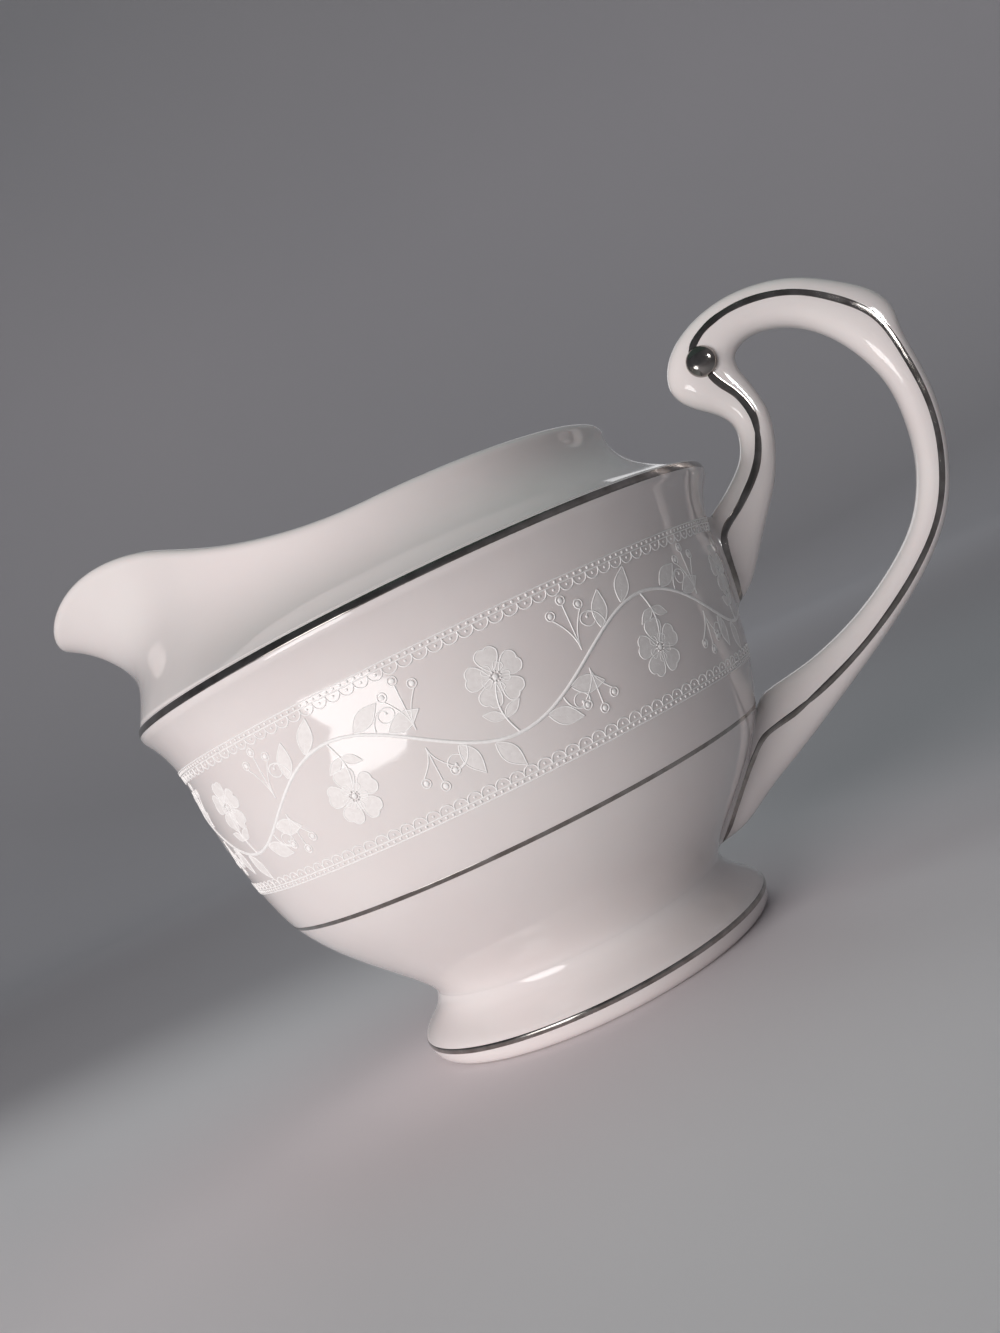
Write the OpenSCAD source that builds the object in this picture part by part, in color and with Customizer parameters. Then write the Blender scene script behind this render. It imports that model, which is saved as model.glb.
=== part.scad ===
// China creamer: a pear-shaped bowl on a pedestal foot, a spouted collar seated on its
// shoulder, a swan-neck handle, painted metal lines and a raised enamel frieze.
// Millimetres. Origin at the middle of the foot's resting ring, +Z up, handle to +X.

/* [Bowl] */
// Radius of the shoulder ledge, the widest part
shoulder_r = 47.8; // [45.5:0.1:52]
// Height of the shoulder ledge
shoulder_z = 64; // [60:0.5:70]
// Height of the upright edge of the shoulder
shoulder_edge = 1.5; // [1.4:0.1:2.4]
// Width of the flat ledge that the collar sits on
ledge_w = 4.6; // [4:0.1:5.2]
// How far the belly stands in from the shoulder
belly_inset = 3.6; // [2.8:0.1:4.6]
// Height of the ledge above the belly
belly_drop = 13; // [10:0.5:15]
// How far the waist line stands in from the belly
waist_inset = 4.9; // [3.5:0.1:6]
// Height of the belly above the waist line
waist_drop = 23; // [20:0.5:26]
// Radius of the neck above the foot
neck_r = 24.4; // [22:0.1:26]
// Height of the neck, where the foot joins
neck_z = 9.2; // [8:0.1:11]
// Thickness of the bowl's wall
wall = 2.8; // [2:0.1:3.4]
// Thickness of the bowl's floor
floor_t = 3; // [2.4:0.1:4]

/* [Foot] */
// How far the foot bulges past its resting ring
foot_bulge = 1.9; // [1:0.1:2.6]
// Height of the bulge
foot_bulge_z = 2.8; // [2:0.1:3.6]
// How far the resting ring stands out from the neck
foot_flare = 2.6; // [1.6:0.1:3.6]
// Width of the resting ring
foot_ring_w = 3; // [2.2:0.1:3.6]
// Thickness of the foot's wall where it meets the bowl
foot_wall = 4; // [3:0.1:6]

/* [Collar and spout] */
// Width of the ledge left outside the collar
collar_inset = 0.8; // [0.7:0.1:1.2]
// How far the lip behind the spout stands in from the collar's seat
lip_inset = 10.7; // [9:0.1:13]
// Height of the lip behind the spout above the ledge
lip_rise = 11.8; // [9.5:0.1:16]
// Thickness of the collar's wall
collar_t = 2.6; // [2:0.1:3]
// Thickness of the rounded lip
lip_t = 2.2; // [1.6:0.1:2.6]
// Reach of the spout's tip past the lip
spout_reach = 20.1; // [16:0.1:25]
// Rise of the spout's sides above the lip
spout_rise = 15; // [10:0.5:18]
// Drop of the pouring tip below the spout's sides
spout_dip = 7.25; // [3:0.25:8]
// Half angle over which the spout swells out of the lip
spout_angle = 22; // [18:0.5:26]
// How far the collar's wall draws in above its seat, behind the spout
collar_tuck = 4; // [3:0.1:5]
// How far the wall draws in above its seat, under the spout
spout_tuck = 2.8; // [2:0.1:4.5]
// How far the wall stands out below the lip, behind the spout
collar_flare = 1.2; // [0.4:0.1:2]
// How far the spout's wall flares out to its tip
spout_flare = 7.6; // [5:0.1:9]

/* [Handle] */
// Reach of the handle past the shoulder
handle_reach = 34.5; // [30:0.5:38]
// Height of the arch above the ledge
handle_rise = 20.6; // [16:0.1:25]
// Height of the lower lug's toe above the foot
lower_lug_up = 1.2; // [0.6:0.1:2.4]
// Height of the waist line above the lower lug
lower_lug_gap = 1.4; // [1:0.1:4]
// Height of the ledge above the upper lug's heel
upper_lug_drop = 21.8; // [19:0.1:24]
// Length of the upper lug, measured upward
upper_lug_h = 13.6; // [11:0.1:15]
// Thickness of the strand, front to back
strand_t = 6.2; // [5:0.1:7]
// Height of the thumb ridge over the arch
thumb_ridge = 0.9; // [0.4:0.1:1.4]
// Diameter of the scroll's eye
eye_d = 4.8; // [3.4:0.1:5]
// Height of the eye's dome above its seat
eye_h = 1.3; // [1:0.1:1.8]
// Depth of the seat that the eye sits in
eye_seat = 0.5; // [0.3:0.1:0.6]

/* [Metal lines] */
// Width of the line on the shoulder
shoulder_line_w = 1.1; // [0.8:0.1:1.2]
// Width of the waist line
waist_line_w = 0.8; // [0.6:0.1:1.2]
// Width of the foot line
foot_line_w = 0.9; // [0.6:0.1:1.2]
// Width of the line on the handle
handle_line_w = 0.9; // [0.6:0.1:1.2]
// Depth of a line in the glaze
line_inlay = 0.2; // [0.15:0.05:0.3]
// Height of a line above the glaze
line_proud = 0.1; // [0.05:0.05:0.2]

/* [Enamel frieze] */
// Height of the belly above the frieze's middle
frieze_drop = 5.6; // [4.5:0.1:7]
// Height of the frieze between its bead rows
frieze_h = 20.4; // [18:0.2:21]
// Height left clear between the vine's crests and the bead rows
vine_clear = 5.6; // [4.8:0.1:6.5]
// Width of the vine
vine_w = 0.9; // [0.7:0.05:1.1]
// Height of the enamel above the glaze
enamel_h = 0.35; // [0.25:0.05:0.5]
// Length of a leaf
leaf_l = 4.6; // [3.6:0.1:5]
// Width of a leaf
leaf_w = 2; // [1.6:0.1:2.4]
// Length of a petal
petal_l = 2.8; // [2.2:0.1:3]
// Width of a petal
petal_w = 2.2; // [1.6:0.1:2.4]
// Diameter of a berry
berry_d = 1.3; // [1:0.1:1.6]
// Width of a border thread
border_w = 1; // [0.8:0.1:1.2]
// Blossoms round the bowl
blossoms = 12; // [10:2:12]

/* [Hidden] */
$fn = 96;

china = "#e9e1dd";
platinum = "#b9bcc0";
enamel = "#fbf9f6";

// Shares of each run across and up that bend the bowl's wall, from neck to shoulder
lower_wall_shares = [[0.02, 0.16], [0.74, 0.56]];
middle_wall_shares = [[0.4, 0.17], [0.9, 0.62]];
upper_wall_shares = [[0.04, 0.45], [0.42, 0.78]];
// Share of the shoulder's edge by which it leans in
edge_lean_share = 0.4;
// Shares that bend the foot's wall, from the resting ring to the bulge and on to the neck
foot_lower_shares = [[0.55, 0.02], [0.98, 0.4]];
foot_upper_shares = [[0.02, 0.3], [0.95, 0.45]];
// Width of the bevel inside the resting ring
ring_bevel = 0.8;

// Shares of the collar's height at which its wall turns up from the seat and out to the lip,
// behind the spout and at the spout's tip
back_turn_shares = [0.25, 0.58];
tip_turn_shares = [0.3, 0.78];
// Share of the spread at which the pouring tip stops dipping
dip_share = 0.6;
// Half angle over which the lip climbs to the spout, and the angle at which it is level
climb_angle = 98;
// Share of the spout's swelling that the collar's wall follows below the lip
swell_share = 1.25;
// Rings on each side of the collar, and points along a curve and round the lip
collar_rings = 36;
curve_steps = 10;
lip_steps = 5;

// Outer and inner edges of the handle's strand, from the upper lug over the arch to the lower
// one. Across, a share of the way from the bowl's wall to the handle's reach. Up, a share that
// passes 0 at the toe, 1 at the top of the lower lug, 2 at the upper lug's heel and 3 at the arch.
outer_edge_shares = [
    [0.043, 2.344], [0.123, 2.405], [0.163, 2.475], [0.209, 2.571], [0.165, 2.641], [0.061, 2.72],
    [0.027, 2.808], [0.096, 2.912], [0.258, 2.982], [0.45, 3], [0.666, 2.956], [0.848, 2.851],
    [0.971, 2.737], [0.995, 2.562], [1, 2.37], [0.959, 2.186], [0.864, 1.983], [0.703, 1.531],
    [0.51, 1.151], [0.345, 0.824], [0.218, 0.527], [0.127, 0.275], [0.077, 0.069]];
inner_edge_shares = [
    [0.083, 2.055], [0.194, 2.204], [0.316, 2.361], [0.361, 2.545], [0.346, 2.676], [0.327, 2.746],
    [0.332, 2.79], [0.356, 2.816], [0.41, 2.834], [0.489, 2.834], [0.607, 2.799], [0.715, 2.72],
    [0.799, 2.606], [0.846, 2.475], [0.857, 2.335], [0.824, 2.169], [0.735, 2.011], [0.603, 1.721],
    [0.425, 1.436], [0.244, 1.246], [0.122, 1.174], [0.035, 1.127], [0.016, 1.056]];
// Thickness of the strand at the same places and at both lugs, as shares of strand_t
thickness_shares = [
    1.15, 1, 0.9, 0.88, 0.88, 0.9, 0.98, 1.05, 1.06, 1.06, 1.06, 1.06, 1.04, 1, 0.97, 0.95,
    0.95, 0.95, 0.95, 0.97, 1, 1.05, 1.15, 1.3, 1.4];
// Places along the strand: a share of its length, and a share of a turn round it, from its outer
// edge to the front
neck_line_shares = [
    [0.0104, 0.4667], [0.0133, 0.3333], [0.0208, 0.2222], [0.0417, 0.1833], [0.0833, 0.2111],
    [0.1667, 0.2556], [0.225, 0.2667], [0.2708, 0.25]];
arch_line_shares = [
    [0.3396, 0.1944], [0.3667, 0.1944], [0.4167, 0.2083], [0.5417, 0.2278], [0.6667, 0.2167],
    [0.7917, 0.2222], [0.875, 0.2556], [0.9417, 0.2833], [0.9792, 0.2333], [0.9896, 0.1111],
    [0.9938, 0.0333]];
// Shares of the strand's length at the scroll's eye, and where the thumb ridge rises and fades
eye_share = 0.3083;
ridge_from_share = 0.4167;
ridge_to_share = 0.6;
// How squarely a point must face the strand's outer edge to be on the ridge
ridge_edge_share = 0.99;
// Exponent that squares the strand's oval section
strand_square_share = 0.85;
// Points round the strand, rings for each station, rings on a lug's end, steps along a line
strand_sides = 20;
steps_per_station = 3;
lug_rings = 4;
line_steps = 34;
// Share of a step by which the line's direction is felt for, ahead and behind
nudge_share = 0.1;
// Clear width kept between the frieze and the upper lug
lug_clear = 1.4;
// Clear width kept between neighbouring pieces of enamel
enamel_gap = 0.15;

// A leaf's outline, as shares of its length and width
leaf_shares = [[0, 0], [0.2, 0.36], [0.45, 0.5], [0.75, 0.3], [1, 0], [0.75, -0.3], [0.45, -0.5],
    [0.2, -0.36]];
// A petal's outline, as shares of its length and width
petal_shares = [[0, 0.1], [0.5, 0.46], [0.85, 0.4], [1, 0], [0.85, -0.4], [0.5, -0.46], [0, -0.1]];
// A berry's outline, as shares of its diameter
berry_shares = [[0, 0], [0.25, 0.43], [0.75, 0.43], [1, 0], [0.75, -0.43], [0.25, -0.43]];
// A bead's dome from its rim to its top, as shares of its radius and height
dome_shares = [[1, 0], [0.92, 0.45], [0.68, 0.78], [0.36, 0.95], [0, 1]];
// Places of the leaves on each half wave of the vine, and the lean of each from the vine
leaf_place_shares = [0.16, 0.34, 0.66, 0.84];
leaf_lean = 42;
// Share of the swing by which a blossom sits across the vine's middle
blossom_share = 0.62;
// Share of the frieze's half height at which the berries hang
berry_share = 0.58;
// Share of the wave between the berries of one cluster
berry_step_share = 0.09;
petals = 5;
// Shares of its size and height at which a touch of enamel turns over to its top
touch_shares = [0.7, 0.8];
// The vine's section from side to side, as shares of half its width and of its height
vine_section_shares = [[-1, 0], [-0.6, 0.85], [0, 1], [0.6, 0.85], [1, 0]];
// Angle between the vine's sections, and facets round a bead
vine_step = 3;
bead_sides = 24;

// Derived sizes and curves

// A point part of the way from a to b, by one share across and one up
function between(a, b, share) = [a[0] + share[0] * (b[0] - a[0]), a[1] + share[1] * (b[1] - a[1])];
function mix(a, b, w) = (1 - w) * a + w * b;
function cubic(a, c, d, b, t) =
    pow(1 - t, 3) * a + 3 * pow(1 - t, 2) * t * c + 3 * (1 - t) * t * t * d + pow(t, 3) * b;
// A smooth curve from a to b whose two inner controls lie at the given shares of the run
function bend(a, b, shares, steps) =
    let (c = between(a, b, shares[0]), d = between(a, b, shares[1]))
    [for (i = [0:steps]) cubic(a, c, d, b, i / steps)];
function tail(points) = [for (i = [1:len(points) - 1]) points[i]];
function reversed(points) = [for (i = [len(points) - 1:-1:0]) points[i]];
// The same line moved to its left, looking along it
function shifted(points, depth) = [for (i = [0:len(points) - 1])
    let (a = points[max(i - 1, 0)], b = points[min(i + 1, len(points) - 1)], d = (b - a) / norm(b - a))
    points[i] + depth * [-d[1], d[0]]];
// Radius of a wall line at a height
function radius_at(wall_line, z) = lookup(z, [for (p = wall_line) [p[1], p[0]]]);
// A value from a list at a place between its entries, on a smooth curve through them
function smooth_at(values, s) =
    let (last = len(values) - 1, i = min(floor(s), last - 1), t = s - i,
        a = values[max(i - 1, 0)], b = values[i], c = values[i + 1], d = values[min(i + 2, last)])
    0.5 * (2 * b + (c - a) * t + (2 * a - 5 * b + 4 * c - d) * t * t + (3 * b - a - 3 * c + d) * t * t * t);
// Faces that join rings of equal length into a skin, with the rings open or closed into a torus
function skin_faces(rings, sides, closed) = [for (i = [0:rings - (closed ? 1 : 2)], j = [0:sides - 1])
    let (k = (i + 1) % rings, n = (j + 1) % sides)
    each [[i * sides + j, i * sides + n, k * sides + n], [i * sides + j, k * sides + n, k * sides + j]]];
function joined(rings) = [for (ring = rings) each ring];

belly_r = shoulder_r - belly_inset;
belly_z = shoulder_z - belly_drop;
waist_z = belly_z - waist_drop;
collar_r = shoulder_r - collar_inset;
lip_r = collar_r - lip_inset;
lip_z = shoulder_z + lip_rise;
shoulder = [shoulder_r, shoulder_z - shoulder_edge];
shoulder_top = [shoulder_r - edge_lean_share * shoulder_edge, shoulder_z];
belly = [belly_r, belly_z];
waist = [belly_r - waist_inset, waist_z];
neck = [neck_r, neck_z];
bowl_line = concat(bend(neck, waist, lower_wall_shares, curve_steps),
    tail(bend(waist, belly, middle_wall_shares, curve_steps)),
    tail(bend(belly, shoulder, upper_wall_shares, curve_steps)), [shoulder_top]);
floor_z = neck_z + floor_t;
inner_line = concat([for (p = shifted(bowl_line, wall)) if (p[1] > floor_z + wall / 2 && p[1] < belly_z) p],
    [[shoulder_r - ledge_w, shoulder_z]]);
floor_r = inner_line[0][0] - wall / 2;
foot_base_r = neck_r + foot_flare;
foot_side = [foot_base_r + foot_bulge, foot_bulge_z];
foot_line_points = concat(bend([foot_base_r, 0], foot_side, foot_lower_shares, curve_steps),
    tail(bend(foot_side, neck, foot_upper_shares, curve_steps)));

// The section of a painted line laid across a wall line at a height
function inlay_section(wall_line, z, w) =
    let (a = [radius_at(wall_line, z - w / 2), z - w / 2], b = [radius_at(wall_line, z + w / 2), z + w / 2],
        d = (b - a) / norm(b - a), out = [d[1], -d[0]])
    [a - line_inlay * out, a + line_proud * out, b + line_proud * out, b - line_inlay * out];
shoulder_section = inlay_section(bowl_line, shoulder_z - shoulder_edge / 2, shoulder_line_w);
waist_section = inlay_section(bowl_line, waist_z, waist_line_w);
foot_section = inlay_section(foot_line_points, foot_bulge_z, foot_line_w);

module turned(outline, color_name) {
    color(color_name) rotate_extrude() polygon(outline);
}

// The bowl: a turned wall with a closed floor, a flat ledge and two grooves for its lines
module bowl() {
    color(china)
    rotate_extrude()
    difference() {
        polygon(concat([[0, neck_z]], bowl_line, reversed(inner_line), [[floor_r, floor_z], [0, floor_z]]));
        polygon(shoulder_section);
        polygon(waist_section);
    }
}

// The foot: a flared hollow ring with a narrow flat that the creamer stands on
module pedestal_foot() {
    ring_r = foot_base_r - foot_ring_w;
    color(china)
    rotate_extrude()
    difference() {
        polygon(concat(foot_line_points,
            [[neck_r - foot_wall, neck_z], [ring_r - ring_bevel, 2 * ring_bevel], [ring_r, 0]]));
        polygon(foot_section);
    }
}

module shoulder_line() { turned(shoulder_section, platinum); }
module waist_line() { turned(waist_section, platinum); }
module foot_line() { turned(foot_section, platinum); }

// The collar and its spout. Angles run from the spout's tip, and each section runs from the
// ledge up the outside, round the lip and down the inside.

function swell(a, spread) = exp(-pow(a / spread, 2));
function climb(a) = abs(a) < climb_angle ? pow(cos(90 * a / climb_angle), 2) : 0;
function lip_edge(a) = [
    lip_r + spout_reach * swell(a, spout_angle),
    lip_z - lip_t / 2 + spout_rise * climb(a) - spout_dip * swell(a, dip_share * spout_angle)];
// Where a step lands when it is turned a quarter to the left and cut to the given length
function left_of(step, length) = length / norm(step) * [-step[1], step[0]];
function curve(a, c, d, b) = [for (i = [0:curve_steps]) cubic(a, c, d, b, i / curve_steps)];
function collar_section(a) =
    let (
        w = swell(a, swell_share * spout_angle),
        turn = mix(back_turn_shares, tip_turn_shares, w),
        seat = [collar_r, shoulder_z],
        edge = lip_edge(a),
        climb = edge[1] - shoulder_z,
        low = seat + [-mix(collar_tuck, spout_tuck, w), turn[0] * climb],
        high = [edge[0] + mix(collar_flare, -spout_flare, w), shoulder_z + turn[1] * climb],
        inward = left_of(edge - high, lip_t),
        up = left_of(inward, -lip_t),
        lip = [for (i = [1:lip_steps - 1]) let (t = 180 * i / lip_steps)
            edge + (1 - cos(t)) / 2 * inward + sin(t) / 2 * up],
        inner = curve([shoulder_r - ledge_w, shoulder_z], low + left_of(low - seat, collar_t),
            high + left_of(edge - high, collar_t), edge + inward))
    concat(curve(seat, low, high, edge), lip, reversed(inner));
// Angles packed closely at the spout and wider behind it
collar_angles = [for (i = [-collar_rings:collar_rings - 1])
    180 * sign(i) * pow(abs(i) / collar_rings, 1.5)];

module spout_collar() {
    rings = [for (a = collar_angles) [for (p = collar_section(a))
        [-p[0] * cos(a), p[0] * sin(a), p[1]]]];
    color(china)
    polyhedron(joined(rings), skin_faces(len(rings), len(rings[0]), true));
}

// The handle: one strand between two edge curves. A place on it is given by its station along
// the strand and the angle round it, from the outer edge (0) over the front (90) to the inner.

lower_lug_z = neck_z + lower_lug_up;
lower_lug_top = waist_z - lower_lug_gap;
upper_lug_z = shoulder_z - upper_lug_drop;
handle_marks = [[0, lower_lug_z], [1, lower_lug_top], [2, upper_lug_z],
    [3, shoulder_z + handle_rise]];
function strand_point(share) =
    let (z = lookup(share[1], handle_marks))
    [mix(radius_at(bowl_line, z), shoulder_r + handle_reach, share[0]), z];
function bowl_point(z) = [radius_at(bowl_line, z), z];
outer_edge = concat([bowl_point(upper_lug_z + upper_lug_h)],
    [for (share = outer_edge_shares) strand_point(share)], [bowl_point(lower_lug_z)]);
inner_edge = concat([bowl_point(upper_lug_z)],
    [for (share = inner_edge_shares) strand_point(share)], [bowl_point(lower_lug_top)]);
last_station = len(outer_edge) - 1;

function squared(v) = sign(v) * pow(abs(v), strand_square_share);
function ridge_at(s, a) =
    let (share = s / last_station)
    share > ridge_from_share && share < ridge_to_share && cos(a) > ridge_edge_share
    ? thumb_ridge * sin(180 * (share - ridge_from_share) / (ridge_to_share - ridge_from_share)) : 0;
function on_strand(s, a) =
    let (
        p = smooth_at(outer_edge, s),
        q = smooth_at(inner_edge, s),
        half = (p - q) / 2,
        depth = smooth_at(thickness_shares, s) * strand_t / 2,
        out = (squared(cos(a)) + ridge_at(s, a) / norm(half)) * half + (p + q) / 2)
    [out[0], -depth * squared(sin(a)), out[1]];
// A place on a lug's end, which lies on the bowl
function on_lug(s, a, size) =
    let (p = on_strand(s, a), q = (on_strand(s, 0) + on_strand(s, 180)) / 2,
        y = size * p[1], z = mix(q[2], p[2], size))
    [sqrt(pow(radius_at(bowl_line, z), 2) - y * y), y, z];

strand_angles = [for (j = [0:strand_sides - 1]) 360 * j / strand_sides];
strand_count = last_station * steps_per_station;

module strand() {
    upper = [for (k = [1:lug_rings]) [for (a = strand_angles) on_lug(0, a, k / lug_rings)]];
    middle = [for (i = [1:strand_count - 1])
        [for (a = strand_angles) on_strand(i / steps_per_station, a)]];
    lower = [for (k = [lug_rings:-1:1]) [for (a = strand_angles) on_lug(last_station, a, k / lug_rings)]];
    rings = concat(upper, middle, lower);
    count = len(rings) * strand_sides;
    points = concat(joined(rings), [on_lug(0, 0, 0), on_lug(last_station, 0, 0)]);
    start = [for (j = [0:strand_sides - 1]) [count, (j + 1) % strand_sides, j]];
    base = count - strand_sides;
    end = [for (j = [0:strand_sides - 1]) [count + 1, base + j, base + (j + 1) % strand_sides]];
    polyhedron(points, concat(skin_faces(len(rings), strand_sides, false), start, end));
}

eye_station = eye_share * last_station;
eye_place = (on_strand(eye_station, 0) + on_strand(eye_station, 180)) / 2;
eye_seat_y = abs(on_strand(eye_station, 90)[1]) - eye_seat;

module handle() {
    color(china)
    difference() {
        strand();
        for (side = [-1, 1])
            translate([eye_place[0], side * eye_seat_y, eye_place[2]]) rotate([-90 * side, 0, 0])
                cylinder(h = strand_t, d = eye_d);
    }
}

// The scroll's eye: a small dome standing in its round seat
module scroll_eye(side) {
    r = eye_d / 2;
    color(platinum)
    translate([eye_place[0], side * eye_seat_y, eye_place[2]]) rotate([-90 * side, 0, 0])
    rotate_extrude()
    polygon(concat([[0, 0], [r, 0]],
        [for (share = dome_shares) [r * share[0], eye_seat + eye_h * share[1]]]));
}
module scroll_eye_front() { scroll_eye(-1); }
module scroll_eye_rear() { scroll_eye(1); }

// The line on the handle: a thin ribbon laid on the strand along a path of places
function place_at(path_shares, t) =
    let (share = smooth_at(path_shares, t * (len(path_shares) - 1)))
    [share[0] * last_station, 360 * share[1]];
function strand_at(place) = on_strand(place[0], place[1]);

module ribbon(path_shares) {
    sections = [for (i = [0:line_steps])
        let (
            t = i / line_steps,
            place = place_at(path_shares, t),
            before = strand_at(place_at(path_shares, max((i - nudge_share) / line_steps, 0))),
            after = strand_at(place_at(path_shares, min((i + nudge_share) / line_steps, 1))),
            centre = strand_at(place),
            along = (after - before) / norm(after - before),
            round = strand_at(place + [0, 1]) - strand_at(place - [0, 1]),
            ahead = strand_at(place + [nudge_share, 0]) - strand_at(place - [nudge_share, 0]),
            out = cross(round, ahead) / norm(cross(round, ahead)),
            side = cross(out, along) * handle_line_w / 2,
            top = out * line_proud)
        [centre - side, centre - side + top, centre + side + top, centre + side]];
    count = len(sections);
    polyhedron(joined(sections), concat(skin_faces(count, 4, false),
        [[0, 3, 2], [0, 2, 1]], [for (f = [[0, 1, 2], [0, 2, 3]]) [for (v = f) v + 4 * (count - 1)]]));
}
module handle_lines() {
    ribbon(neck_line_shares);
    ribbon(arch_line_shares);
}
module handle_line_front() { color(platinum) handle_lines(); }
module handle_line_rear() { color(platinum) mirror([0, 1, 0]) handle_lines(); }

// The enamel frieze. It runs round the bowl from one side of the upper lug to the other.

frieze_gap_a = asin((thickness_shares[0] * strand_t / 2 + lug_clear) / belly_r);
wave_a = 360 / blossoms;
frieze_z = belly_z - frieze_drop;
vine_swing = frieze_h / 2 - vine_clear;
function on_glaze(a, z, h) =
    let (r = radius_at(bowl_line, z) + h) [r * cos(a), r * sin(a), z];
function vine_z(a) = frieze_z + vine_swing * sin(180 * a / wave_a);
function clear_of_lug(a, margin) = a > frieze_gap_a + margin && a < 360 - frieze_gap_a - margin;
// Angle on the bowl that a width along the frieze takes up
function as_angle(w) = w / belly_r * 180 / PI;
// Tilt of the vine at an angle, above the level
function vine_tilt(a) = atan2(vine_z(a + 0.5) - vine_z(a - 0.5), belly_r * PI / 180);

module enamel_vine() {
    first = frieze_gap_a;
    count = round((360 - 2 * first) / vine_step);
    sections = [for (i = [0:count])
        let (
            a = mix(first, 360 - first, i / count),
            tilt = vine_tilt(a),
            half = [as_angle(-sin(tilt) * vine_w / 2), cos(tilt) * vine_w / 2],
            z = vine_z(a))
        [for (share = vine_section_shares)
            on_glaze(a + share[0] * half[0], z + share[0] * half[1], share[1] * enamel_h)]];
    last = 5 * count;
    color(enamel)
    polyhedron(joined(sections), concat(skin_faces(count + 1, 5, false),
        [for (k = [1:3]) [0, k + 1, k]], [for (k = [1:3]) [last, last + k, last + k + 1]]));
}

// One domed touch of enamel on the bowl: an outline turned by a tilt, rising to a soft top
module touch(outline, a, z, tilt, length, width) {
    sides = len(outline);
    function at(u, v, h) =
        let (x = u * cos(tilt) - v * sin(tilt), y = u * sin(tilt) + v * cos(tilt))
        on_glaze(a + as_angle(x), z + y, h);
    function ring(size, h) = [for (share = outline)
        at(length * mix(0.5, share[0], size), width * share[1] * size, h)];
    points = concat(ring(1, 0), ring(touch_shares[0], touch_shares[1] * enamel_h),
        [at(length / 2, 0, 0), at(length / 2, 0, enamel_h)]);
    polyhedron(points, concat(skin_faces(2, sides, false),
        [for (j = [0:sides - 1]) [2 * sides, (j + 1) % sides, j]],
        [for (j = [0:sides - 1]) [2 * sides + 1, sides + j, sides + (j + 1) % sides]]));
}

module enamel_leaves() {
    color(enamel)
    for (i = [0:blossoms - 1], k = [0:len(leaf_place_shares) - 1]) {
        a = (i + leaf_place_shares[k]) * wave_a;
        tilt = vine_tilt(a) + (i % 2 == 0 ? leaf_lean : -leaf_lean);
        off = vine_w / 2 / sin(leaf_lean) + enamel_gap;
        if (clear_of_lug(a, as_angle(leaf_l)))
            touch(leaf_shares, a + as_angle(off * cos(tilt)), vine_z(a) + off * sin(tilt), tilt,
                leaf_l, leaf_w);
    }
}

module enamel_blossoms() {
    hub = berry_d / 2 + enamel_gap;
    color(enamel)
    for (i = [0:blossoms - 1]) {
        a = (i + 0.5) * wave_a;
        z = frieze_z - (i % 2 == 0 ? 1 : -1) * blossom_share * vine_swing;
        bead(a, z, berry_d);
        for (p = [0:petals - 1]) {
            tilt = 90 + 360 * p / petals;
            touch(petal_shares, a + as_angle(hub * cos(tilt)), z + hub * sin(tilt), tilt, petal_l, petal_w);
        }
    }
}

// One bead standing square on the bowl's wall
module bead(a, z, d) {
    lean = atan((radius_at(bowl_line, z + d) - radius_at(bowl_line, z - d)) / (2 * d));
    rotate([0, 0, a]) translate([radius_at(bowl_line, z), 0, z]) rotate([0, 90 + lean, 0])
    rotate_extrude($fn = bead_sides)
    polygon(concat([[0, 0]], [for (share = dome_shares) [d / 2 * share[0], enamel_h * share[1]]]));
}

module enamel_berries() {
    color(enamel)
    for (i = [1:blossoms - 1], side = [-1, 1], k = [-1, 0, 1]) {
        z = frieze_z + side * (berry_share * frieze_h / 2 + (k == 0 ? berry_d : 0));
        touch(berry_shares, (i + k * berry_step_share) * wave_a, z, 90, berry_d, berry_d);
    }
}

// A border: a half round thread of enamel that stops short of the upper lug
module border(z) {
    color(enamel)
    rotate([0, 0, frieze_gap_a])
    rotate_extrude(angle = 360 - 2 * frieze_gap_a)
    polygon([for (t = [0:36:180])
        let (y = z - cos(t) * border_w / 2)
        [radius_at(bowl_line, y) + enamel_h * sin(t), y]]);
}
module upper_border() { border(frieze_z + frieze_h / 2); }
module lower_border() { border(frieze_z - frieze_h / 2); }

bowl();
spout_collar();
pedestal_foot();
handle();
shoulder_line();
waist_line();
foot_line();
handle_line_front();
handle_line_rear();
scroll_eye_front();
scroll_eye_rear();
enamel_vine();
enamel_leaves();
enamel_blossoms();
enamel_berries();
upper_border();
lower_border();
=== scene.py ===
import bmesh
import bpy
import math
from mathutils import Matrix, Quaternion, Vector


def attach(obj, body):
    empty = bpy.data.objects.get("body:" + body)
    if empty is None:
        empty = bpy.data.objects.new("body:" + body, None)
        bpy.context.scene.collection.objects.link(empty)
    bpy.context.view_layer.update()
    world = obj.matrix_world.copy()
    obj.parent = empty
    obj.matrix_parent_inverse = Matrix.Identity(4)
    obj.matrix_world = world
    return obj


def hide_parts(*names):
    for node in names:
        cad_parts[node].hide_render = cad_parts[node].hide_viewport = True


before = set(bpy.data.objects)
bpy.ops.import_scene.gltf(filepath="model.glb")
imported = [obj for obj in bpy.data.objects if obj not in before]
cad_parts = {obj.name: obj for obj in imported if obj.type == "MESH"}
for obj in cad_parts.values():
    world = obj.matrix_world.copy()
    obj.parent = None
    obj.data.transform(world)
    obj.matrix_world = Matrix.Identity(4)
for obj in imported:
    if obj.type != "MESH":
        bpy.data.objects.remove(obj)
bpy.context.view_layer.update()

# Camera
# A hand-held camera at the height of the bowl's belly, a little to the handle's side of the
# front, rolled so that the creamer leans up to the right in the picture.
yaw, pitch, roll = math.radians(-8.13), math.radians(0.72), math.radians(-25.86)
aim = Vector((math.sin(yaw) * math.cos(pitch), math.cos(yaw) * math.cos(pitch), math.sin(pitch)))
camera_data = bpy.data.cameras.new("camera")
camera_data.sensor_width = 36
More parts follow.
